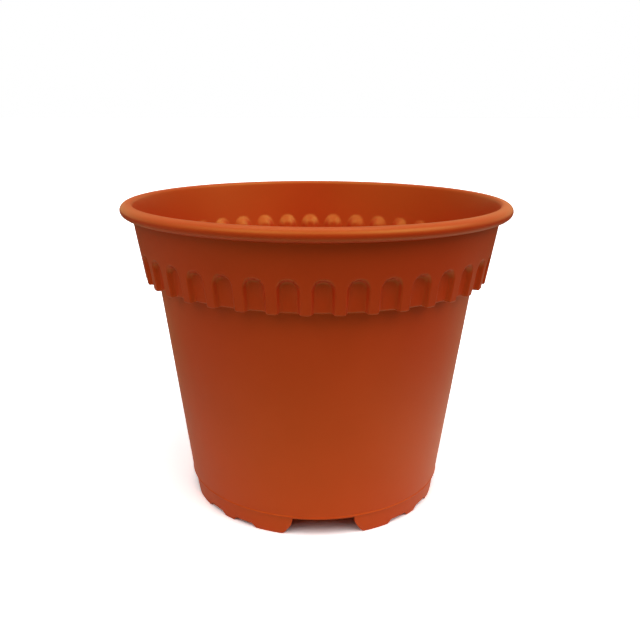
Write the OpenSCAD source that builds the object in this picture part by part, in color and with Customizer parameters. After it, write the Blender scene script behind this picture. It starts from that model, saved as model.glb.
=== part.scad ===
// Terracotta-coloured plant pot, moulded in one piece from biodegradable plastic.
// The moulding is divided at level planes into its named zones, which meet face to face.
// Millimetres. Z is up, the pot stands on Z = 0 and its axis is the Z axis.
// Angles are counted from the front, -Y, and grow towards +X.

/* [Pot] */
// Outer diameter over the rolled rim, the widest part of the pot
rim_d = 200; // [160:1:260]
// Total height of the pot
pot_h = 155.7; // [125:0.1:220]
// Outer diameter of the side wall at the parting line
base_d = 134.4; // [110:0.2:160]
// Thickness of the moulded wall
wall_t = 1.2; // [0.9:0.1:2]

/* [Rolled rim] */
// Width of the rounded outer half of the rolled rim
rim_round_w = 3.8; // [3:0.1:5]
// Height of the rolled rim
rim_h = 6.4; // [5:0.1:8]
// How far the rolled rim stands out beyond the upper band
rim_over = 5.4; // [3:0.1:6.5]
// Height of the plain neck between the upper band and the rolled rim
neck_h = 0.9; // [0.5:0.1:2]

/* [Collar] */
// Height of the collar from the ledge to the top of the rim
collar_h = 39.2; // [34:0.1:50]
// How far the collar narrows between the middle of the rim and the ledge
collar_in = 6.35; // [2:0.05:10]
// Width of the ledge under the collar
ledge_w = 6.15; // [4.5:0.05:9]
// Thickness of the shelf that carries the ribbed skirt
shelf_t = 1.6; // [1.2:0.1:2.5]

/* [Flutes] */
// Number of arched flutes round the skirt
flute_count = 38; // [24:1:40]
// Share of the way round the ledge that the flutes take up
flute_share = 0.63; // [0.5:0.01:0.66]
// Radius of the arch at the top of a flute, as a share of half its width
arch_share = 1.09; // [1:0.01:1.4]
// Depth of a flute
flute_depth = 2.3; // [1.2:0.1:2.8]
// Height of a flute from the ledge to the crown of its arch
flute_h = 15.9; // [12:0.1:18]
// How far the bump on the inside is wider than its flute on each side
bump_margin = 1.1; // [0.8:0.1:1.5]
// How far the crown of the bump on the inside lies above that of its flute
bump_rise = 2.3; // [0.8:0.1:3]
// Plain wall between the crown of a bump and the upper band
bump_land = 0.8; // [0.5:0.1:4]
// Angle of the first flute
flute_turn = -2; // [-4.5:0.1:4.5]

/* [Floor] */
// Thickness of the floor
floor_t = 2.2; // [1.6:0.1:3]
// Height of the parting line above the ground
parting_z = 10.3; // [8:0.1:14]
// Height of the parting line above the underside of the floor
parting_over = 1; // [0.5:0.1:1.5]
// Height of the thin ridge along the parting line
ridge_h = 0.8; // [0.2:0.1:1]
// How far the ridge stands out of the side wall
ridge_out = 0.3; // [0.1:0.1:0.6]
// Number of drain holes round the middle one
drain_count = 4; // [3:1:8]
// Diameter of a drain hole
drain_d = 12; // [6:0.5:14]
// Distance from the outside of the side wall to the middles of the outer drain holes
drain_in = 21.2; // [15:0.1:30]
// Angle of the first outer drain hole, which keeps them away from the large openings
drain_turn = 45; // [0:1:90]

/* [Foot ring] */
// How far the foot ring is set in from the side wall at the parting line
foot_step = 0.7; // [0.2:0.1:1.5]
// How far the foot ring narrows from the parting line to the ground
foot_taper = 1.3; // [0:0.1:3]
// Thickness of the foot ring
foot_t = 2.2; // [1.6:0.1:3]
// Number of large openings in the foot ring
gate_count = 4; // [3:1:4]
// Width of a large opening at the floor
gate_top_w = 30; // [24:0.5:34]
// How far a large opening widens from the floor to the cut corners of the feet
gate_spread = 1.4; // [0:0.1:5]
// Height of the cut lower corner of a foot
toe_h = 5.3; // [2:0.1:7]
// Width of the cut lower corner of a foot
toe_w = 3.7; // [2:0.1:6]
// Width of a small notch on the ground
notch_w = 13.8; // [10:0.1:14]
// How far a small notch narrows from the ground to its top
notch_lean = 4.2; // [2:0.1:6]
// Height of a small notch
notch_h = 2.1; // [1:0.1:4]
// Angle between the middle of a foot and the small notch on either side of it
notch_turn = 8.7; // [8:0.1:10]

/* [Hidden] */
$fn = 192;
clay = [0.70, 0.31, 0.15];
// Overrun of every cut beyond the face that it opens
over = 1;
// Number of short sides that draw the rounded outer half of the rim
rim_sides = 24;

rim_mid_z = pot_h - rim_h / 2;
rim_mid_r = rim_d / 2 - rim_round_w;
rim_low_z = pot_h - rim_h;
neck_z = rim_low_z - neck_h;
band_d = rim_d - 2 * rim_over;
ledge_z = pot_h - collar_h;
ledge_d = band_d - 2 * collar_in;
shoulder_d = ledge_d - 2 * ledge_w;
shelf_z = ledge_z + shelf_t;
flute_w = flute_share * PI * ledge_d / flute_count;
arch_r = arch_share * flute_w / 2;
crown_z = ledge_z + flute_h;
skirt_top_z = crown_z + bump_rise + bump_land;
floor_z = parting_z - parting_over;
floor_top_z = floor_z + floor_t;
drain_circle_d = base_d - 2 * drain_in;
foot_top_d = base_d - 2 * foot_step;
foot_d = foot_top_d - 2 * foot_taper;
gate_w = gate_top_w + gate_spread;
notch_top_w = notch_w - notch_lean;
// Half the angle between neighbouring feet, which puts a foot between two large openings
foot_turn = 180 / gate_count;

// Outer radius of the ribs and the upper band at height z
function band_r(z) = ledge_d / 2 + (band_d - ledge_d) / 2 * (z - ledge_z) / (rim_mid_z - ledge_z);
// Outer radius of the side wall at height z
function side_r(z) = base_d / 2 + (shoulder_d - base_d) / 2 * (z - parting_z) / (ledge_z - parting_z);
// Outer radius of the foot ring at height z
function foot_r(z) = foot_d / 2 + (foot_top_d - foot_d) / 2 * z / parting_z;

// Ring under the upper cone, from z0 to z1, between two depths below its outer face
module band_shell(z0, z1, inner, outer) {
    rotate_extrude()
        polygon([
            [band_r(z0) - inner, z0], [band_r(z0) - outer, z0],
            [band_r(z1) - outer, z1], [band_r(z1) - inner, z1]
        ]);
}

// Outline of a flute: straight sides under a flat arch. Grow widens it and rise lifts its crown
module arch_outline(grow, rise) {
    half_w = flute_w / 2 + grow;
    crown_r = arch_r + grow;
    top_z = crown_z + rise;
    intersection() {
        translate([-half_w, ledge_z - over]) square([2 * half_w, top_z - ledge_z + over]);
        union() {
            translate([0, top_z - crown_r]) circle(crown_r);
            translate([-crown_r, ledge_z - over]) square([2 * crown_r, top_z - crown_r - ledge_z + over]);
        }
    }
}

// Bars of the flute's outline that run out through the skirt, one for each flute
module flute_bars(grow, rise) {
    reach = band_r(skirt_top_z) + over;
    for (i = [0 : flute_count - 1])
        rotate([0, 0, flute_turn + i * 360 / flute_count])
            translate([0, -reach / 2, 0])
                rotate([90, 0, 0])
                    linear_extrude(height = reach / 2) arch_outline(grow, rise);
}

// Bead at the mouth of the pot, round on its outside and flush with the wall on its inside, and its neck
module rolled_rim() {
    color(clay)
        rotate_extrude()
            polygon(concat(
                [[band_r(pot_h) - wall_t, pot_h], [band_r(neck_z) - wall_t, neck_z],
                 [band_r(neck_z), neck_z], [band_r(rim_low_z), rim_low_z]],
                [for (i = [0 : rim_sides])
                    [rim_mid_r + rim_round_w * sin(i * 180 / rim_sides),
                     rim_mid_z - rim_h / 2 * cos(i * 180 / rim_sides)]]
            ));
}

// Plain band between the flutes and the rolled rim
module upper_band() {
    color(clay) band_shell(skirt_top_z, neck_z, wall_t, 0);
}

// Skirt with its flutes and ribs, the bumps behind the flutes, and the shelf under them
module fluted_skirt() {
    color(clay)
        difference() {
            union() {
                band_shell(ledge_z, skirt_top_z, wall_t, 0);
                intersection() {
                    band_shell(ledge_z, skirt_top_z, flute_depth + wall_t, wall_t / 2);
                    flute_bars(bump_margin, bump_rise);
                }
                rotate_extrude()
                    polygon([
                        [side_r(ledge_z) - wall_t, ledge_z], [band_r(ledge_z) - wall_t / 2, ledge_z],
                        [band_r(shelf_z) - wall_t / 2, shelf_z], [side_r(ledge_z) - wall_t, shelf_z]
                    ]);
            }
            intersection() {
                band_shell(ledge_z - over, skirt_top_z, flute_depth, -over);
                flute_bars(0, 0);
            }
        }
}

// Plain tapered wall from the floor up to the shelf
module side_wall() {
    color(clay)
        rotate_extrude()
            polygon([
                [side_r(floor_top_z) - wall_t, floor_top_z], [side_r(floor_top_z), floor_top_z],
                [side_r(ledge_z), ledge_z], [side_r(ledge_z) - wall_t, ledge_z]
            ]);
}

// Floor with its drain holes, and the parting line with its ridge round the edge
module pot_floor() {
    color(clay)
        difference() {
            rotate_extrude()
                polygon([
                    [0, floor_z], [foot_r(floor_z), floor_z], [foot_r(parting_z), parting_z],
                    [side_r(parting_z) + ridge_out, parting_z],
                    [side_r(parting_z + ridge_h), parting_z + ridge_h],
                    [side_r(floor_top_z), floor_top_z], [0, floor_top_z]
                ]);
            translate([0, 0, floor_z - over]) cylinder(h = floor_t + 2 * over, d = drain_d);
            for (i = [0 : drain_count - 1])
                rotate([0, 0, drain_turn + i * 360 / drain_count])
                    translate([0, -drain_circle_d / 2, floor_z - over])
                        cylinder(h = floor_t + 2 * over, d = drain_d);
        }
}

// Half outline of a large opening: a leaning side, then the cut corner of the foot
function gate_half(s) = [
    [s * gate_top_w / 2, floor_z + over], [s * gate_top_w / 2, floor_z], [s * gate_w / 2, toe_h],
    [s * (gate_w / 2 + toe_w), 0], [s * (gate_w / 2 + toe_w), -over]
];

function backwards(list) = [for (i = [len(list) - 1 : -1 : 0]) list[i]];

// Ring of feet with four large openings and two small notches in each foot
module foot_ring() {
    reach = foot_r(floor_z) + over;
    color(clay)
        difference() {
            rotate_extrude()
                polygon([
                    [foot_r(0) - foot_t, 0], [foot_r(0), 0],
                    [foot_r(floor_z), floor_z], [foot_r(floor_z) - foot_t, floor_z]
                ]);
            for (i = [0 : gate_count - 1])
                rotate([0, 0, i * 360 / gate_count])
                    translate([0, -reach / 2, 0])
                        rotate([90, 0, 0])
                            linear_extrude(height = reach / 2)
                                polygon(concat(gate_half(-1), backwards(gate_half(1))));
            for (i = [0 : gate_count - 1], s = [-1, 1])
                rotate([0, 0, foot_turn + i * 360 / gate_count + s * notch_turn])
                    translate([0, -reach / 2, 0])
                        rotate([90, 0, 0])
                            linear_extrude(height = reach / 2)
                                polygon([
                                    [-notch_w / 2, -over], [notch_w / 2, -over], [notch_w / 2, 0],
                                    [notch_top_w / 2, notch_h], [-notch_top_w / 2, notch_h], [-notch_w / 2, 0]
                                ]);
        }
}

rolled_rim();
upper_band();
fluted_skirt();
side_wall();
pot_floor();
foot_ring();
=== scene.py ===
"""Terracotta-coloured plant pot in biodegradable plastic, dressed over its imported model.

The pot is one moulding. Each piece here is one of its zones and stands for the CAD node of that zone,
with the soft edges, domes and fillets of the mould. Lengths of the pot are millimetres until mesh_piece
turns them into metres, and lengths of the studio are metres. Angles on the pot are counted from the
front, -Y, towards +X. A section is a list of (r, z) points: distance from the axis, and height.
"""

import bmesh
import bpy
import numpy as np
from mathutils import Matrix, Vector


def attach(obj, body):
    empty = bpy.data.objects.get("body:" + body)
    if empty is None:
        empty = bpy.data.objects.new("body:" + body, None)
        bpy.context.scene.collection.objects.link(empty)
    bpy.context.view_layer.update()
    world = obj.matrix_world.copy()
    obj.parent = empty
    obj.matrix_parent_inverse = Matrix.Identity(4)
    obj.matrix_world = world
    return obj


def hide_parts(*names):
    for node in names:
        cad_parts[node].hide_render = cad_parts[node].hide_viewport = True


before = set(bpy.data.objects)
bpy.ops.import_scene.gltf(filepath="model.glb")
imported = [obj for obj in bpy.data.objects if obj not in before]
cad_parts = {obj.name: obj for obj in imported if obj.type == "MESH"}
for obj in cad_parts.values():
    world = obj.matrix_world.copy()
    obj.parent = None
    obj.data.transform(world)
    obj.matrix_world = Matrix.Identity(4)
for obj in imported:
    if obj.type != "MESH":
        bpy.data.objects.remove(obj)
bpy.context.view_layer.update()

MM = 0.001
QUARTER, EIGHTH = np.pi / 2, np.pi / 4

# Grids: number of columns or rows of each surface, and of points on each curve, both ends counted
ROUND_COLUMNS = 384
RIM_OVAL_POINTS, RIM_CORNER_POINTS, NECK_FILLET_POINTS, CORNER_POINTS = 56, 11, 9, 5
BAND_ROWS, WALL_ROWS, FLUTE_ROWS, BUMP_ROWS = 13, 40, 38, 30
SECTOR_COLUMNS, SECTOR_SIDE_POINTS, PATCH_ROWS, RING_FINENESS = 24, 13, 6, 4
FOOT_ROWS, GROUND_POINTS, NOTCH_ROOF_POINTS = 7, 8, 9
# Doubles are welded and slivers taken out below these lengths, in metres
WELD_LENGTH, SLIVER_LENGTH = 1e-6, 1e-7
# Edges that turn by more than this many degrees stay sharp: plainly turned pieces, and fluted or notched ones
SHARP_TURN, SHARP_TURN_SHAPED = 40.0, 50.0

# Rim: an oval bead over the neck, the level where it meets the band. The oval starts underneath at
# RIM_OVAL_START, and the fillet's arms reach NECK_FILLET_LOW up the band and NECK_FILLET_HIGH off the oval
RIM_MID_R, RIM_MID_Z = 96.2, 152.5
RIM_HALF_W, RIM_HALF_H = 3.8, 3.2
RIM_TOP_Z, NECK_Z = 155.7, 148.4
RIM_OVAL_START = np.radians(-118.0)
RIM_CORNER = 1.8
RIM_INNER_ROWS_Z = (152.0, 150.4, NECK_Z)
NECK_STRAIGHT = 0.25
NECK_FILLET_LOW, NECK_FILLET_HIGH = 0.9, 0.7

# Band, ledge and wall
WALL_T = 1.2
BAND_R, LEDGE_R, LEDGE_Z = 94.6, 88.25, 116.5
SKIRT_TOP_Z = 135.5
SHOULDER_R, BASE_R, PARTING_Z = 82.1, 67.2, 10.3
LEDGE_FILLET = 0.6
WALL_TOP_Z = LEDGE_Z - 0.7

# Flutes outside and bumps inside: half width, top of the arch, and height at which the arch begins
FLUTE_COUNT = 38
FLUTE_TURN = np.radians(-2.0)
FLUTE_HALF_W, FLUTE_CROWN_Z, FLUTE_SPRING_Z = 4.75, 132.6, 127.7
FLUTE_DEPTH, FLUTE_SLOPE, FLUTE_OVERLAP = 2.3, 1.5, 0.3
HOLLOW_DEPTH, HOLLOW_INSET, HOLLOW_SLOPE = 0.22, 0.9, 2.6
HOLLOW_CROWN_GAP, HOLLOW_CROWN_FADE, HOLLOW_LEDGE_FADE = 0.3, 2.2, 9.0
BUMP_HALF_W, BUMP_CROWN_Z, BUMP_SPRING_Z, BUMP_SLOPE = 5.9, 135.0, 128.0, 4.2
BUMP_EASE_SHARE = 0.6
# Columns on each side of a flute's middle, closer together on its slopes, out of FLUTE_COLUMN_PITCH
FLUTE_COLUMNS = (1.2, 2.2, 3.0, 3.6, 4.0, 4.3, 4.6, 4.9, 5.2, 5.5, 5.9, 6.5)
RIB_COLUMN, FLUTE_COLUMN_PITCH = 7.3, 14.6

# Lower edge of the skirt, which rises in each flute, and the shelf behind it
SCALLOP, SCALLOP_SLOPE = 0.8, 3.0
LEDGE_EDGE, LEDGE_EDGE_TURNS = 0.4, np.radians([0.0, 22.5, 45.0, 67.5])
LEDGE_ROW_SHARES = (0.35, 0.7)
SHELF_Z = 118.1
# The shelf's corner starts this high over it. Then come points out from the skirt's inner face, and at the
# lip out from the wall's inner face, each with its height over the shelf
SHELF_START = 0.6
SHELF_CORNER = ((-0.2, 0.15), (-0.7, 0.0))
SHELF_LIP = ((0.5, 0.0), (0.1, -0.12), (0.0, -0.5))

# Floor: a disc with drain holes, in a middle patch, four sectors and an outer ring
FLOOR_Z, FLOOR_TOP_Z = 9.3, 11.5
DRAIN_R, DRAIN_MID_R, DRAIN_TURN = 6.0, 46.0, EIGHTH
DRAIN_EDGE = 0.5
PATCH_R, SECTORS_R = 16.0, 61.0
# Parting line: it starts RIDGE_TOP over PARTING_Z. Then come points out from the side wall, and under it
# out from the feet, each with its height over PARTING_Z
RIDGE_TOP = 0.8
RIDGE = ((0.16, 0.72), (0.23, 0.62), (0.275, 0.5), (0.3, 0.34), (0.3, 0.15), (0.2, 0.0))
RIDGE_FOOT = ((0.25, 0.0), (0.0, -0.2))

# Feet: four, with a large opening, or gate, between each two, and two notches each
FOOT_R, FOOT_TOP_R, FOOT_T = 65.2, 66.5, 2.2
FOOT_EDGE, FOOT_EDGE_TURNS = 0.35, np.radians([30.0, 60.0, 90.0])
GATE_TOP_HALF_W, GATE_HALF_W, TOE_W, TOE_H = 15.0, 15.7, 3.7, 5.3
GATE_SIDE_SHARES = (0.0, 0.25, 0.5)
KNEE_ROUND, TOE_ROUND = 1.2, 1.4
NOTCH_HALF_W, NOTCH_TOP_HALF_W, NOTCH_H = 6.9, 4.8, 2.1
NOTCH_TURN = np.radians(8.7)
NOTCH_SOFT_TURN, NOTCH_SOFT_LOW, NOTCH_SOFT_HIGH = np.radians(0.35), 0.12, 0.15

# Plastic
CLAY_DEEP, CLAY_PALE = (0.50, 0.0338, 0.0050, 1.0), (0.525, 0.0358, 0.0054, 1.0)
MOTTLE_SCALE, MOTTLE_DETAIL, MOTTLE_LOW, MOTTLE_HIGH = 38.0, 3.0, 0.3, 0.7
GRAIN_SCALE, GRAIN_DETAIL, GRAIN_STRENGTH, GRAIN_DEPTH = 2600.0, 2.0, 0.25, 0.00005
CLAY_ROUGH_LOW, CLAY_ROUGH_HIGH = 0.34, 0.42
CLAY_IOR, CLAY_SPECULAR, CLAY_TINT = 1.45, 0.69, (1.0, 1.0, 0.2, 1.0)

# Camera, from the fit to the photograph's outline: angles in radians, lengths in millimetres and pixels
CAMERA_PITCH, CAMERA_YAW, CAMERA_ROLL = 0.223242, -0.0175004, 0.0022205
CAMERA_SPOT = np.array([0.0, -391.512, 202.4173])
CAMERA_TURN = np.radians(-4.2)
PHOTO_SIDE, FOCAL_LENGTH, SHIFT_X, SHIFT_Y = 640.0, 750.7915, 17.5815, -42.9132
SENSOR_W, CLIP_START = 36.0, 0.01

# Studio: colours that the backdrop and the floor show to the camera, lend to gloss, and bounce as light
WHITE = (1.0, 1.0, 1.0, 1.0)
WORLD_STRENGTH, BACKDROP_STRENGTH = 0.02, 1.0
BACKDROP_GLOSS_LOW = (0.37, 0.33, 0.17, 1.0)
BACKDROP_GLOSS_HIGH = (0.66, 0.58, 0.17, 1.0)
BACKDROP_GLOSS_SIDES = (0.86, 0.77, 0.34, 1.0)
FLOOR_HALF_W = 12.0
FLOOR_GLOSS_NEAR = (0.72, 0.64, 0.48, 1.0)
FLOOR_GLOSS_NEAR_RIGHT = (1.05, 0.95, 0.72, 1.0)
FLOOR_GLOSS_LEFT = (0.34, 0.295, 0.155, 1.0)
FLOOR_GLOSS_RIGHT = (0.49, 0.425, 0.275, 1.0)
FLOOR_GLOSS_FAR = (0.13, 0.10, 0.05, 1.0)
FLOOR_GLOSS_FRONT = (0.14, 0.12, 0.06, 1.0)
FLOOR_SHOWN = (1.9, 1.9, 1.9, 1.0)
# Painted shade: under the pot the floor shows the camera this darker colour, on top of the pot's real shadow
FLOOR_SHOWN_PAINTED_SHADE = (0.80, 0.80, 0.80, 1.0)
BOUNCE_NEAR, BOUNCE_FAR, BOUNCE_FAR_LEFT = 1.0, 0.15, 0.48
# Where one of these tones gives way to the next, start and end: directions, and metres on the floor
BACKDROP_RISE, BACKDROP_ASIDE = (0.1, 0.7), (0.08, 0.45)
FLOOR_TO_RIGHT, FLOOR_BESIDE, FLOOR_TO_FRONT = (-0.1, 0.2), (0.03, 0.10), (0.15, -0.15)
FLOOR_TO_FAR, FLOOR_TO_POT, PAINTED_SHADE_FADE = (0.26, 0.55), (0.26, 0.06), (0.056, 0.070)
BOUNCE_FALL, BOUNCE_TO_LEFT = (0.17, 0.27), (-0.16, -0.38)
SUN_DISTANCE = 2.0
# Name, degrees to the right of the front, degrees above the ground, softness in degrees, strength
SUNS = (("back_sun", 180.0, 75.0, 45.0, 0.62), ("right_front_sun", 35.0, 50.0, 45.0, 0.851),
        ("left_front_sun", -35.0, 50.0, 45.0, 0.838), ("right_sun", 70.0, 40.0, 45.0, 0.933),
        ("left_sun", -70.0, 40.0, 45.0, 0.382), ("top_sun", 0.0, 88.0, 120.0, 0.326))


def band_r(z):
    """Outer radius of the collar at height z: a straight line from the ledge to the rim."""
    return LEDGE_R + (BAND_R - LEDGE_R) * (z - LEDGE_Z) / (RIM_MID_Z - LEDGE_Z)


def side_r(z):
    """Outer radius of the side wall at height z: a straight line from the parting line to the ledge."""
    return BASE_R + (SHOULDER_R - BASE_R) * (z - PARTING_Z) / (LEDGE_Z - PARTING_Z)


def foot_r(z):
    """Outer radius of the foot ring at height z: a straight line from the ground to the parting line."""
    return FOOT_R + (FOOT_TOP_R - FOOT_R) * z / PARTING_Z


def ease(t):
    """Smooth step from 0 to 1: 3 t^2 - 2 t^3, held at its ends."""
    t = np.clip(t, 0.0, 1.0)
    return t * t * (3.0 - 2.0 * t)


def unit(vectors):
    """Vectors of length 1: each one divided by its length."""
    return vectors / np.linalg.norm(vectors, axis=-1, keepdims=True)


def corner_arc(before, corner, after, radius, count=CORNER_POINTS):
    """Points of a rounded corner: a curve that leaves each side at that distance from the corner and bends
    as a quadratic Bezier, (1-t)^2 a + 2 t (1-t) corner + t^2 b."""
    before, corner, after = (np.asarray(point, float) for point in (before, corner, after))
    a = corner + unit(before - corner) * radius
    b = corner + unit(after - corner) * radius
    t = np.linspace(0.0, 1.0, count)[:, None]
    return (1 - t) ** 2 * a + 2 * t * (1 - t) * corner + t ** 2 * b


def turned(radius, angles, height):
    """Points (r sin a, -r cos a, z), with the three spread to one grid of the same size."""
    radius, angles, height = np.broadcast_arrays(radius, angles, height)
    return np.stack([radius * np.sin(angles), -radius * np.cos(angles), height], -1)


def grid_faces(rows, columns, rows_close=True, columns_close=True):
    """Quads of a grid, row by row. A way that closes leads from its last points back to the first."""
    i, j = np.meshgrid(np.arange(rows if rows_close else rows - 1),
                       np.arange(columns if columns_close else columns - 1), indexing="ij")
    below, beside = (i + 1) % rows, (j + 1) % columns
    corners = [i * columns + j, below * columns + j, below * columns + beside, i * columns + beside]
    return np.stack(corners, -1).reshape(-1, 4)


def joined_grids(grids, **closing):
    """Vertices and quads of several grids of points, counted one after the other."""
    vertices, quads, total = [], [], 0
    for grid in grids:
        vertices.append(grid.reshape(-1, 3))
        quads.append(grid_faces(*grid.shape[:2], **closing) + total)
        total += len(vertices[-1])
    return np.concatenate(vertices), np.concatenate(quads)


def mesh_piece(name, vertices, face_groups, sharp_deg=SHARP_TURN):
    """Makes one piece from vertices in millimetres and arrays of faces, one face a row. It welds doubles,
    and shades the piece smooth except along edges that turn by more than sharp_deg."""
    faces = [face for group in face_groups for face in group.tolist()]
    mesh = bpy.data.meshes.new(name)
    mesh.from_pydata((vertices * MM).tolist(), [], faces)
    mesh.update()
    work = bmesh.new()
    work.from_mesh(mesh)
    bmesh.ops.remove_doubles(work, verts=work.verts, dist=WELD_LENGTH)
    bmesh.ops.dissolve_degenerate(work, dist=SLIVER_LENGTH, edges=work.edges)
    bmesh.ops.recalc_face_normals(work, faces=work.faces)
    work.to_mesh(mesh)
    work.free()
    mesh.shade_smooth()
    mesh.set_sharp_from_angle(angle=np.radians(sharp_deg))
    piece = bpy.data.objects.new(name, mesh)
    bpy.context.scene.collection.objects.link(piece)
    return piece


def turned_piece(name, section):
    """A closed section carried once round the axis, point = (r sin a, -r cos a, z)."""
    angles = 2 * np.pi * np.arange(ROUND_COLUMNS) / ROUND_COLUMNS
    vertices, quads = joined_grids([turned(section[:, :1], angles, section[:, 1:])])
    return mesh_piece(name, vertices, [quads])


def make_rim():
    """Rolled rim: most of an oval, (r, z) = middle + (a cos t, b sin t), a level top with a rounded inner
    corner on the line of the wall's inner face, and a fillet from the neck to the underside of the oval,
    the cubic Bezier (1-t)^3 start + 3 t (1-t)^2 a + 3 t^2 (1-t) b + t^3 end."""
    t = np.linspace(RIM_OVAL_START, QUARTER, RIM_OVAL_POINTS)
    oval = np.stack([RIM_MID_R + RIM_HALF_W * np.cos(t), RIM_MID_Z + RIM_HALF_H * np.sin(t)], -1)
    start = np.array([band_r(NECK_Z + NECK_STRAIGHT), NECK_Z + NECK_STRAIGHT])
    along_band = np.array([band_r(1.0) - band_r(0.0), 1.0])
    a = start + NECK_FILLET_LOW * along_band
    b = oval[0] - unit(oval[1] - oval[0]) * NECK_FILLET_HIGH
    t = np.linspace(0.0, 1.0, NECK_FILLET_POINTS)[:, None]
    fillet = (1 - t) ** 3 * start + 3 * t * (1 - t) ** 2 * a + 3 * t ** 2 * (1 - t) * b + t ** 3 * oval[0]
    inner = np.array([[band_r(z) - WALL_T, z] for z in (RIM_TOP_Z,) + RIM_INNER_ROWS_Z])
    edge = corner_arc((RIM_MID_R, RIM_TOP_Z), inner[0], inner[-1], RIM_CORNER, RIM_CORNER_POINTS)
    section = np.concatenate([[[band_r(NECK_Z), NECK_Z]], fillet, oval[1:], edge, inner[1:]])
    return turned_piece("rolled_rim_bead", section)


def make_band():
    """Plain band: two straight lines WALL_T apart, from the skirt to the neck."""
    z = np.linspace(SKIRT_TOP_Z, NECK_Z, BAND_ROWS)
    outer = np.stack([band_r(z), z], -1)
    inner = np.stack([band_r(z) - WALL_T, z], -1)
    return turned_piece("upper_band_wall", np.concatenate([outer, inner[::-1]]))


def arch_inside(u, z, half_w, crown, spring):
    """How far a point lies inside the outline of an arch. Below the spring that is half_w - |u|; above it,
    it is (1 - q) half_w with the ellipse q^2 = (u / half_w)^2 + ((z - spring) / (crown - spring))^2."""
    rise = np.maximum(z - spring, 0.0) / (crown - spring)
    return (1.0 - np.sqrt((u / half_w) ** 2 + rise ** 2)) * half_w


def flute_depth(u, z):
    """Share of the full depth of a flute: a smooth step over the slope, which starts a little outside the
    outline, and a shallow hollow along its middle that fades out towards the crown and the ledge."""
    inside = arch_inside(u, z, FLUTE_HALF_W, FLUTE_CROWN_Z, FLUTE_SPRING_Z)
    below_crown = ease((FLUTE_CROWN_Z - HOLLOW_CROWN_GAP - z) / HOLLOW_CROWN_FADE)
    above_ledge = ease((z - LEDGE_Z) / HOLLOW_LEDGE_FADE)
    across = ease((FLUTE_HALF_W - HOLLOW_INSET - np.abs(u)) / HOLLOW_SLOPE)
    return ease(inside / FLUTE_SLOPE + FLUTE_OVERLAP) + HOLLOW_DEPTH * across * below_crown * above_ledge


def bump_height(u, z):
    """Share of the full height of a bump: 0.6 of a smooth step and 0.4 of sin(90 degrees * t), which starts
    softly on the outline and ends in a round back."""
    t = np.clip(arch_inside(u, z, BUMP_HALF_W, BUMP_CROWN_Z, BUMP_SPRING_Z) / BUMP_SLOPE, 0.0, 1.0)
    return BUMP_EASE_SHARE * ease(t) + (1.0 - BUMP_EASE_SHARE) * np.sin(QUARTER * t)


def make_skirt():
    """Skirt of arched flutes. Each column has its own section: the outer face is the cone less the depth of
    the flute, the inner face is the cone less the wall and the bump, and the ledge under it rises in each
    flute by the scallop, on a slope with its middle on the flute's side. u is the length along the face
    from the middle of the nearest flute."""
    pitch = 2 * np.pi / FLUTE_COUNT
    half = np.array(FLUTE_COLUMNS)
    offsets = np.concatenate([-half[::-1], [0.0], half, [RIB_COLUMN]]) / FLUTE_COLUMN_PITCH * pitch
    angles = (FLUTE_TURN + pitch * np.arange(FLUTE_COUNT)[:, None] + offsets).reshape(-1)
    from_flute = np.tile(offsets, FLUTE_COUNT)

    def outer_r(z):
        return band_r(z) - FLUTE_DEPTH * flute_depth(from_flute * band_r(z), z)

    def inner_r(z):
        face = band_r(z) - WALL_T
        return face - FLUTE_DEPTH * bump_height(from_flute * face, z)

    in_flute = ease((FLUTE_HALF_W - np.abs(from_flute * LEDGE_R)) / SCALLOP_SLOPE + 0.5)
    edge_z = LEDGE_Z + SCALLOP * in_flute
    edge_r = outer_r(edge_z)
    wall_in = side_r(LEDGE_Z) - WALL_T
    fillet_end = SHOULDER_R + LEDGE_FILLET

    s = np.linspace(0.0, 1.0, FLUTE_ROWS)[:, None]
    outer_z = (edge_z + LEDGE_EDGE) * (1 - s) + SKIRT_TOP_Z * s
    s = np.linspace(0.0, 1.0, BUMP_ROWS)[:, None]
    inner_z = SKIRT_TOP_Z * (1 - s) + (SHELF_Z + SHELF_START) * s
    rows = [(outer_r(outer_z), outer_z), (inner_r(inner_z), inner_z)]
    rows += [(inner_r(SHELF_Z) + out, SHELF_Z + up) for out, up in SHELF_CORNER]
    rows += [(wall_in + out, SHELF_Z + up) for out, up in SHELF_LIP]
    rows += [(wall_in, LEDGE_Z), (fillet_end, LEDGE_Z)]
    s = np.array(LEDGE_ROW_SHARES)[:, None]
    rows.append((fillet_end * (1 - s) + (edge_r - LEDGE_EDGE) * s, LEDGE_Z * (1 - s) + edge_z * s))
    t = LEDGE_EDGE_TURNS[:, None]
    rows.append((edge_r - LEDGE_EDGE + LEDGE_EDGE * np.sin(t), edge_z + LEDGE_EDGE - LEDGE_EDGE * np.cos(t)))
    grid = np.concatenate([turned(radius, angles[None, :], height) for radius, height in rows])
    vertices, quads = joined_grids([grid])
    return mesh_piece("fluted_skirt_wall", vertices, [quads], SHARP_TURN_SHAPED)


def make_side_wall():
    """Tapered wall: two straight lines WALL_T apart, with a small fillet under the ledge."""
    z = np.linspace(FLOOR_TOP_Z, WALL_TOP_Z, WALL_ROWS)
    outer = np.stack([side_r(z), z], -1)
    fillet = corner_arc(outer[-1], (side_r(LEDGE_Z), LEDGE_Z), (LEDGE_R, LEDGE_Z), LEDGE_FILLET)
    inner = np.stack([side_r(z) - WALL_T, z], -1)
    inner_top = [[side_r(LEDGE_Z) - WALL_T, LEDGE_Z]]
    return turned_piece("side_wall_cone", np.concatenate([outer, fillet, inner_top, inner[::-1]]))


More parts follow.
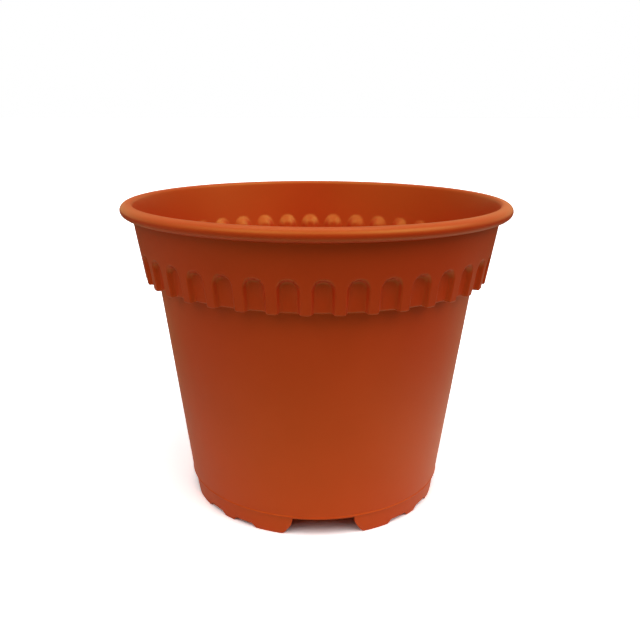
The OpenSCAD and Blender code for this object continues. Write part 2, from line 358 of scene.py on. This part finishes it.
def sector_border():
    """Border of the floor's front sector as (x, y) points, once round: the outer arc to the right, in along
    its right side, the inner arc to the left, and out along its left side."""
    arc = np.linspace(-EIGHTH, EIGHTH, SECTOR_COLUMNS + 1)
    side = np.linspace(PATCH_R, SECTORS_R, SECTOR_SIDE_POINTS)[1:-1]
    border = [turned(SECTORS_R, arc, 0.0), turned(side[::-1], EIGHTH, 0.0),
              turned(PATCH_R, arc[::-1], 0.0), turned(side, -EIGHTH, 0.0)]
    return np.concatenate(border)[:, :2]


def holed_patch(border, middle):
    """Grid of a flat patch of the floor with a drain hole, from (x, y) points: on top from the border to the
    hole, point = (1 - s) border + s hole, down through the hole, and back underneath. The hole's points lie
    in the directions of the border's points, and its edges are cut by DRAIN_EDGE."""
    towards = unit(border - middle)
    hole = middle + towards * DRAIN_R
    hole_edge = middle + towards * (DRAIN_R + DRAIN_EDGE)
    s = np.linspace(0.0, 1.0, PATCH_ROWS)[:, None, None]
    flat = border * (1 - s) + hole_edge * s
    outline = np.concatenate([flat, [hole, hole], flat[::-1]])
    top, underside = [FLOOR_TOP_Z] * PATCH_ROWS, [FLOOR_Z] * PATCH_ROWS
    levels = np.array(top + [FLOOR_TOP_Z - DRAIN_EDGE, FLOOR_Z + DRAIN_EDGE] + underside)
    height = np.broadcast_to(levels[:, None, None], outline.shape[:2] + (1,))
    return np.concatenate([outline, height], -1)


def fan_faces(coarse_start, fine_start, count):
    """Triangles of a flat ring between count coarse points and RING_FINENESS times as many fine ones. The
    first half of the fine edges beside a coarse edge meet its first point, the others its last point, and
    one triangle on the coarse edge itself closes the gap between the two fans."""
    first = np.arange(count)
    last = (first + 1) % count
    fans = []
    for step in range(RING_FINENESS):
        fine = first * RING_FINENESS + step
        near = first if step < RING_FINENESS // 2 else last
        fans.append(np.stack([coarse_start + near, fine_start + fine,
                              fine_start + (fine + 1) % (count * RING_FINENESS)], -1))
    middle = fine_start + first * RING_FINENESS + RING_FINENESS // 2
    fans.append(np.stack([coarse_start + first, middle, coarse_start + last], -1))
    return np.concatenate(fans)


def make_floor():
    """Floor disc: a middle patch and four sectors, each with a drain hole, an outer ring that carries the
    parting line's profile, and two flat rings of fans from the sectors to it, on top and underneath."""
    count = 4 * SECTOR_COLUMNS
    turn = DRAIN_TURN + EIGHTH
    coarse = turn + 2 * np.pi * np.arange(count) / count
    fine = turn + 2 * np.pi * np.arange(count * RING_FINENESS) / (count * RING_FINENESS)
    grids = [holed_patch(turned(PATCH_R, coarse, 0.0)[:, :2], np.zeros(2))]
    for mid_angle in DRAIN_TURN + np.arange(4) * QUARTER:
        c, s = np.cos(mid_angle), np.sin(mid_angle)
        spin = np.array([[c, s], [-s, c]])
        grids.append(holed_patch(sector_border() @ spin, np.array([0.0, -DRAIN_MID_R]) @ spin))
    section = [[side_r(z), z] for z in (FLOOR_TOP_Z, PARTING_Z + RIDGE_TOP)]
    section += [[side_r(PARTING_Z) + out, PARTING_Z + up] for out, up in RIDGE]
    section += [[foot_r(PARTING_Z) + out, PARTING_Z + up] for out, up in RIDGE_FOOT]
    section = np.array(section + [[foot_r(FLOOR_Z), FLOOR_Z]])
    ring = turned(section[:, :1], fine, section[:, 1:])
    vertices, quads = joined_grids(grids + [ring], rows_close=False)
    faces = [quads]
    for z, fine_row in ((FLOOR_TOP_Z, ring[0]), (FLOOR_Z, ring[-1])):
        faces.append(fan_faces(len(vertices), len(vertices) + count, count))
        vertices = np.concatenate([vertices, turned(SECTORS_R, coarse, z), fine_row])
    return mesh_piece("pot_floor_disc", vertices, faces)


def foot_outline():
    """Lower outline of one foot as (angle, z) pairs from one large opening to the next, with the angle
    counted from the middle of the foot: leaning end, cut toe, ground, notch, ground, and mirrored. Both
    corners of the cut are softened by a Bezier."""
    mirror = np.array([-1.0, 1.0])
    top = np.array([GATE_TOP_HALF_W, FLOOR_Z])
    knee = np.array([GATE_HALF_W, TOE_H])
    toe = np.array([GATE_HALF_W + TOE_W, 0.0])
    gate_side = [top * (1 - s) + knee * s for s in GATE_SIDE_SHARES]
    end = np.concatenate([gate_side, corner_arc(top, knee, toe, KNEE_ROUND),
                          corner_arc(knee, toe, toe + (1.0, 0.0), TOE_ROUND)])
    end = np.stack([np.arcsin(end[:, 0] / foot_r(end[:, 1])) - EIGHTH, end[:, 1]], -1)
    low = np.arcsin(NOTCH_HALF_W / FOOT_R)
    high = np.arcsin(NOTCH_TOP_HALF_W / FOOT_R)
    side = np.array([[-low - NOTCH_SOFT_TURN, 0.0], [-low, NOTCH_SOFT_LOW], [-(low + high) / 2, NOTCH_H / 2],
                     [-high, NOTCH_H - NOTCH_SOFT_HIGH], [-high + NOTCH_SOFT_TURN, NOTCH_H]])
    roof_angles = np.linspace(side[-1, 0], -side[-1, 0], NOTCH_ROOF_POINTS)[1:-1]
    roof = np.stack([roof_angles, np.full(roof_angles.size, NOTCH_H)], -1)
    notch = np.concatenate([side, roof, side[::-1] * mirror]) - (NOTCH_TURN, 0.0)
    ground_angles = np.linspace(end[-1, 0], notch[0, 0], GROUND_POINTS)[1:-1]
    ground = np.stack([ground_angles, np.zeros(ground_angles.size)], -1)
    half = np.concatenate([end, ground, notch])
    return np.concatenate([half, [[0.0, 0.0]], half[::-1] * mirror])


def make_feet():
    """Four feet. Outer and inner face run from the floor to the lower outline, point = (1 - s) top + s low
    in (angle, z), and a rounding of radius e = FOOT_EDGE leads from each face to the edge between: at turn t
    of it, the outline is moved in by e (1 - sin t) and lies e (1 - cos t) behind the face. The level top has
    a row at each depth of the rounding, so that it meets the ends of the foot point for point."""
    outline = foot_outline()
    arc = outline * (FOOT_R, 1.0)
    along = unit(np.gradient(arc, axis=0))
    inward = np.stack([-along[:, 1], along[:, 0]], -1)
    inward[[0, -1]] = 0.0

    def inset(amount):
        return (arc + inward * amount) / (FOOT_R, 1.0)

    top_angles = np.linspace(outline[0, 0], outline[-1, 0], len(outline))
    top = np.stack([top_angles, np.full(len(outline), FLOOR_Z)], -1)
    behind = FOOT_EDGE * (1 - np.cos(FOOT_EDGE_TURNS))
    edge = [inset(amount) for amount in FOOT_EDGE * (1 - np.sin(FOOT_EDGE_TURNS))]
    face = [top * (1 - s) + inset(FOOT_EDGE) * s for s in np.linspace(0.0, 1.0, FOOT_ROWS)]
    lines = np.array(face + edge + edge[::-1] + face[::-1] + [top] * (2 * len(behind)))
    depths = np.concatenate([np.zeros(FOOT_ROWS), behind, FOOT_T - behind[::-1], np.full(FOOT_ROWS, FOOT_T),
                             FOOT_T - behind, behind[::-1]])
    angles, z = lines[..., 0], lines[..., 1]
    radius = foot_r(z) - depths[:, None]
    grids = [turned(radius, angles + turn, z) for turn in EIGHTH + np.arange(4) * QUARTER]
    vertices, quads = joined_grids(grids, columns_close=False)
    return mesh_piece("foot_ring_feet", vertices, [quads], SHARP_TURN_SHAPED)


def add_node(tree, kind, inputs=None, **settings):
    """Adds a shader node. An input takes a plain value, or another node's output, which is linked to it."""
    node = tree.nodes.new("ShaderNode" + kind)
    for name, value in settings.items():
        setattr(node, name, value)
    for socket, value in (inputs or {}).items():
        if isinstance(value, bpy.types.NodeSocket):
            tree.links.new(value, node.inputs[socket])
        else:
            node.inputs[socket].default_value = value
    return node


def clay_material():
    """Moulded plastic: nearly even colour with a soft mottle, a fine grain in the bump, and a satin
    gloss that changes a little from place to place."""
    material = bpy.data.materials.new("terracotta_moulded_plastic")
    material.use_nodes = True
    tree = material.node_tree
    shader = tree.nodes["Principled BSDF"]
    place = add_node(tree, "TexCoord").outputs["Object"]
    mottle = add_node(tree, "TexNoise", {"Vector": place, "Scale": MOTTLE_SCALE, "Detail": MOTTLE_DETAIL})
    ramp = add_node(tree, "ValToRGB", {"Fac": mottle.outputs["Fac"]})
    for element, position, colour in zip(ramp.color_ramp.elements, (MOTTLE_LOW, MOTTLE_HIGH),
                                         (CLAY_DEEP, CLAY_PALE)):
        element.position = position
        element.color = colour
    rough = add_node(tree, "MapRange", {"Value": mottle.outputs["Fac"], "To Min": CLAY_ROUGH_LOW,
                                        "To Max": CLAY_ROUGH_HIGH})
    grain = add_node(tree, "TexNoise", {"Vector": place, "Scale": GRAIN_SCALE, "Detail": GRAIN_DETAIL})
    bump = add_node(tree, "Bump", {"Height": grain.outputs["Fac"], "Strength": GRAIN_STRENGTH,
                                   "Distance": GRAIN_DEPTH})
    tree.links.new(ramp.outputs["Color"], shader.inputs["Base Color"])
    tree.links.new(rough.outputs["Result"], shader.inputs["Roughness"])
    tree.links.new(bump.outputs["Normal"], shader.inputs["Normal"])
    shader.inputs["IOR"].default_value = CLAY_IOR
    shader.inputs["Specular IOR Level"].default_value = CLAY_SPECULAR
    shader.inputs["Specular Tint"].default_value = CLAY_TINT
    return material


def make_camera():
    """Camera of the photograph: position, direction and frame from the fit to the pot's outline."""
    sin_pitch, cos_pitch = np.sin(CAMERA_PITCH), np.cos(CAMERA_PITCH)
    sin_yaw, cos_yaw = np.sin(CAMERA_YAW), np.cos(CAMERA_YAW)
    forward = np.array([sin_yaw * cos_pitch, cos_yaw * cos_pitch, -sin_pitch])
    right = np.array([cos_yaw, -sin_yaw, 0.0])
    up = np.cross(right, forward)
    rolled_right = np.cos(CAMERA_ROLL) * right + np.sin(CAMERA_ROLL) * up
    rolled_up = -np.sin(CAMERA_ROLL) * right + np.cos(CAMERA_ROLL) * up
    c, s = np.cos(CAMERA_TURN), np.sin(CAMERA_TURN)
    spin = np.array([[c, -s, 0.0], [s, c, 0.0], [0.0, 0.0, 1.0]])
    place = np.eye(4)
    place[:3, :3] = spin @ np.stack([rolled_right, rolled_up, -forward], axis=1)
    place[:3, 3] = spin @ CAMERA_SPOT * MM
    data = bpy.data.cameras.new("photo_camera")
    data.sensor_width = SENSOR_W
    data.lens = FOCAL_LENGTH / PHOTO_SIDE * SENSOR_W
    data.shift_x = SHIFT_X / PHOTO_SIDE
    data.shift_y = SHIFT_Y / PHOTO_SIDE
    data.clip_start = CLIP_START
    camera = bpy.data.objects.new("photo_camera", data)
    camera.matrix_world = Matrix(place.tolist())
    bpy.context.scene.collection.objects.link(camera)
    bpy.context.scene.camera = camera


def make_sun(name, turn, rise, softness, strength):
    """Soft sun: turn degrees to the right of the front, rise degrees above the ground."""
    turn, rise = np.radians(turn), np.radians(rise)
    data = bpy.data.lights.new(name, "SUN")
    data.energy = strength
    data.angle = np.radians(softness)
    lamp = bpy.data.objects.new(name, data)
    towards = Vector((np.sin(turn) * np.cos(rise), -np.cos(turn) * np.cos(rise), np.sin(rise)))
    lamp.location = towards * SUN_DISTANCE
    lamp.rotation_euler = towards.to_track_quat("Z", "Y").to_euler()
    bpy.context.scene.collection.objects.link(lamp)


def smooth_range(tree, value, ends, low=0.0, high=1.0):
    """Smooth step of a value: low up to the first of the two ends and high from the second on."""
    step = add_node(tree, "MapRange", {"Value": value, "From Min": ends[0], "From Max": ends[1],
                                       "To Min": low, "To Max": high}, interpolation_type="SMOOTHSTEP")
    return step.outputs["Result"]


def zone_mix(tree, value, ends, first, second):
    """First colour up to the first of the two ends, and second colour from the second end on. In the Mix
    node, sockets 6 and 7 take the colours, and output 2 gives the mixed one."""
    share = smooth_range(tree, value, ends)
    return add_node(tree, "Mix", {"Factor": share, 6: first, 7: second}, data_type="RGBA").outputs[2]


def shader_mix(tree, share, first, second):
    """First shader where share is 0 and second where it is 1."""
    return add_node(tree, "MixShader", {"Fac": share, 1: first, 2: second}).outputs["Shader"]


def by_ray(tree, bounce, shown, in_gloss):
    """Shader by the kind of ray. Camera, glossy and transmission rays meet the white studio: shown, or
    in_gloss for glossy rays. All other rays, which light the pot, meet bounce."""
    path = add_node(tree, "LightPath").outputs
    seen = path["Is Camera Ray"]
    for ray in ("Is Glossy Ray", "Is Transmission Ray"):
        seen = add_node(tree, "Math", {0: seen, 1: path[ray]}, operation="MAXIMUM").outputs["Value"]
    return shader_mix(tree, seen, bounce, shader_mix(tree, path["Is Glossy Ray"], shown, in_gloss))


def make_world():
    """Plain world: a faint light, a white backdrop, and for gloss a tone that is brighter higher up and
    towards both sides."""
    world = bpy.data.worlds.new("studio")
    world.use_nodes = True
    bpy.context.scene.world = world
    tree = world.node_tree
    light = tree.nodes["Background"]
    light.inputs["Color"].default_value = WHITE
    light.inputs["Strength"].default_value = WORLD_STRENGTH
    direction = add_node(tree, "TexCoord").outputs["Generated"]
    split = add_node(tree, "SeparateXYZ", {"Vector": direction}).outputs
    aside = add_node(tree, "Math", {0: split["X"]}, operation="ABSOLUTE").outputs["Value"]
    tone = zone_mix(tree, split["Z"], BACKDROP_RISE, BACKDROP_GLOSS_LOW, BACKDROP_GLOSS_HIGH)
    tone = zone_mix(tree, aside, BACKDROP_ASIDE, tone, BACKDROP_GLOSS_SIDES)
    shown = add_node(tree, "Background", {"Color": WHITE, "Strength": BACKDROP_STRENGTH})
    in_gloss = add_node(tree, "Background", {"Color": tone, "Strength": BACKDROP_STRENGTH})
    surface = by_ray(tree, *(node.outputs["Background"] for node in (light, shown, in_gloss)))
    tree.links.new(surface, tree.nodes["World Output"].inputs["Surface"])


def floor_material():
    """White floor. Light bounces off it near the pot and less further away, the camera sees it white with
    painted shade under the pot, darker than the pot's real shadow alone, and for gloss it has a tone for each
    zone, mixed one over the other."""
    material = bpy.data.materials.new("studio_white")
    material.use_nodes = True
    tree = material.node_tree
    tree.nodes.remove(tree.nodes["Principled BSDF"])
    place = add_node(tree, "TexCoord").outputs["Object"]
    split = add_node(tree, "SeparateXYZ", {"Vector": place}).outputs
    away = add_node(tree, "VectorMath", {0: place}, operation="LENGTH").outputs["Value"]

    bounce_far = smooth_range(tree, split["X"], BOUNCE_TO_LEFT, BOUNCE_FAR, BOUNCE_FAR_LEFT)
    bounce = smooth_range(tree, away, BOUNCE_FALL, BOUNCE_NEAR, bounce_far)
    # Painted shade: to the camera the floor is darker under the pot and fades to white just past its feet
    shown = zone_mix(tree, away, PAINTED_SHADE_FADE, FLOOR_SHOWN_PAINTED_SHADE, FLOOR_SHOWN)
    tone = zone_mix(tree, split["X"], FLOOR_TO_RIGHT, FLOOR_GLOSS_LEFT, FLOOR_GLOSS_RIGHT)
    tone = zone_mix(tree, away, FLOOR_TO_FAR, tone, FLOOR_GLOSS_FAR)
    tone = zone_mix(tree, split["Y"], FLOOR_TO_FRONT, tone, FLOOR_GLOSS_FRONT)
    near = zone_mix(tree, split["X"], FLOOR_BESIDE, FLOOR_GLOSS_NEAR, FLOOR_GLOSS_NEAR_RIGHT)
    tone = zone_mix(tree, away, FLOOR_TO_POT, tone, near)

    surface = by_ray(tree, *(add_node(tree, "BsdfDiffuse", {"Color": colour}).outputs["BSDF"]
                             for colour in (bounce, shown, tone)))
    tree.links.new(surface, tree.nodes["Material Output"].inputs["Surface"])
    return material


def make_studio_floor():
    """Wide flat square at the height of the ground, which keeps the pot's shadow."""
    half = FLOOR_HALF_W
    corners = [(-half, -half, 0), (half, -half, 0), (half, half, 0), (-half, half, 0)]
    mesh = bpy.data.meshes.new("studio_floor")
    mesh.from_pydata(corners, [], [(0, 1, 2, 3)])
    mesh.materials.append(floor_material())
    floor = bpy.data.objects.new("studio_floor", mesh)
    bpy.context.scene.collection.objects.link(floor)


clay = clay_material()
for build, node in ((make_rim, "rolled_rim"), (make_band, "upper_band"), (make_skirt, "fluted_skirt"),
                    (make_side_wall, "side_wall"), (make_floor, "pot_floor"), (make_feet, "foot_ring")):
    piece = build()
    piece.data.materials.append(clay)
    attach(piece, "root")
    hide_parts(node)
make_camera()
bpy.context.scene.view_settings.view_transform = "Standard"
make_world()
make_studio_floor()
for sun in SUNS:
    make_sun(*sun)

bpy.context.view_layer.update()
